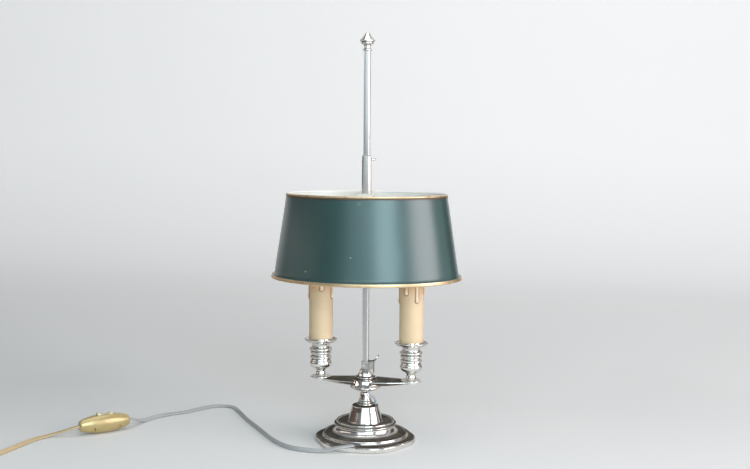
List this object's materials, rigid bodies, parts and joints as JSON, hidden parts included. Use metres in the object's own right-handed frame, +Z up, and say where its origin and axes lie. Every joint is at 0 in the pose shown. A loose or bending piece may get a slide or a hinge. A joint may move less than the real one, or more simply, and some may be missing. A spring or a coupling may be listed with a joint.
{
  "type": "bouillotte lamp",
  "caption": "Table lamp with candle-style lights on a sliding branch under a sliding oval metal shade, both held on a square rod by keys; its flex has an in-line switch.",
  "frame": {"origin": "centre of the foot's underside, on the table", "axes": "+Z up along the rod; +X along the candle branch, to the right as seen from the front; -Y towards the front, where the flex leaves the foot"},
  "size_m": [0.5613, 0.3385, 0.45],
  "materials": {
    "silver_plate": "polished silver plate, worn warm at the edges",
    "polished_rod": "drawn square rod, plated and polished",
    "iron": "rough cast",
    "felt": "green wool felt",
    "raw_brass": "turned and pressed brass",
    "gilt": "gilt rolled edge, worn",
    "strip_metal": "plain strip",
    "green_paint": "deep blue-green paint with a satin gloss outside, white inside",
    "black_plastic": "moulded bush",
    "grey_wire": "smooth sleeve",
    "flex_silver": "smooth twin flex, silver-grey",
    "flex_gold": "smooth twin flex, pale gold",
    "gold_plastic": "moulded, gold-coloured",
    "pale_plastic": "moulded, pale",
    "candle_cream": "cream, with moulded drips",
    "holder_plastic": "moulded",
    "opal_glass": "opal"
  },
  "bodies": {
    "stand": {"foot_shell": "silver_plate", "foot_weight": "iron", "felt_pad": "felt", "base_washer": "raw_brass", "base_nut": "raw_brass", "bell": "silver_plate", "collar": "silver_plate", "neck_knop": "silver_plate", "stem_rod": "polished_rod", "finial": "silver_plate", "cord_bush": "black_plastic", "wire_bush": "black_plastic", "inner_wire": "grey_wire", "branch_wire": "grey_wire", "mains_cord": "flex_silver", "mains_cord_tail": "flex_gold", "cord_coil": "flex_gold", "plug_lead": "flex_gold", "plug_body": "gold_plastic", "plug_pins": "raw_brass", "switch_front": "gold_plastic", "switch_back": "gold_plastic", "rocker_pin": "raw_brass", "switch_screws": "raw_brass", "switch_terminals": "raw_brass"},
    "branch": {"hub_body": "silver_plate", "clamp_sleeve": "silver_plate", "arm_left": "silver_plate", "arm_right": "silver_plate", "cup_left": "silver_plate", "cup_right": "silver_plate", "drip_pan_left": "silver_plate", "drip_pan_right": "silver_plate", "cup_nipples": "raw_brass", "cup_nuts": "silver_plate", "candle_sleeve_left": "candle_cream", "candle_sleeve_right": "candle_cream", "lamp_holder_left": "holder_plastic", "lamp_holder_right": "holder_plastic", "bulb_caps": "raw_brass", "bulb_left": "opal_glass", "bulb_right": "opal_glass"},
    "branch_key": {"branch_key": "silver_plate"},
    "shade": {"shade_shell": "green_paint", "shade_top_bead": "gilt", "shade_bottom_bead": "gilt", "cross_strip": "strip_metal", "shade_rivets": "strip_metal", "shade_sleeve": "silver_plate", "ring_nut": "raw_brass"},
    "shade_key": {"shade_key": "silver_plate"},
    "switch_rocker": {"switch_rocker": "pale_plastic"}
  },
  "joints": [
    {"name": "branch_slide", "type": "slide", "parent": "stand", "child": "branch", "axis": [0, 0, 1], "range_m": [0, 0.03], "deforming": ["branch_wire"]},
    {"name": "branch_key_turn", "type": "hinge", "parent": "branch", "child": "branch_key", "pos_m": [0.00652, 0.0042, 0.086], "axis": [0, 1, 0], "range_deg": [0, 180]},
    {"name": "shade_slide", "type": "slide", "parent": "stand", "child": "shade", "axis": [0, 0, 1], "range_m": [-0.07, 0.1]},
    {"name": "shade_key_turn", "type": "hinge", "parent": "shade", "child": "shade_key", "pos_m": [0, 0.0051, 0.3111], "axis": [0, 1, 0], "range_deg": [0, 180]},
    {"name": "switch_rocker_turn", "type": "hinge", "parent": "stand", "child": "switch_rocker", "pos_m": [-0.296, -0.034, 0.0182], "axis": [0.7071, -0.7071, 0], "range_deg": [0, 8]}
  ]
}
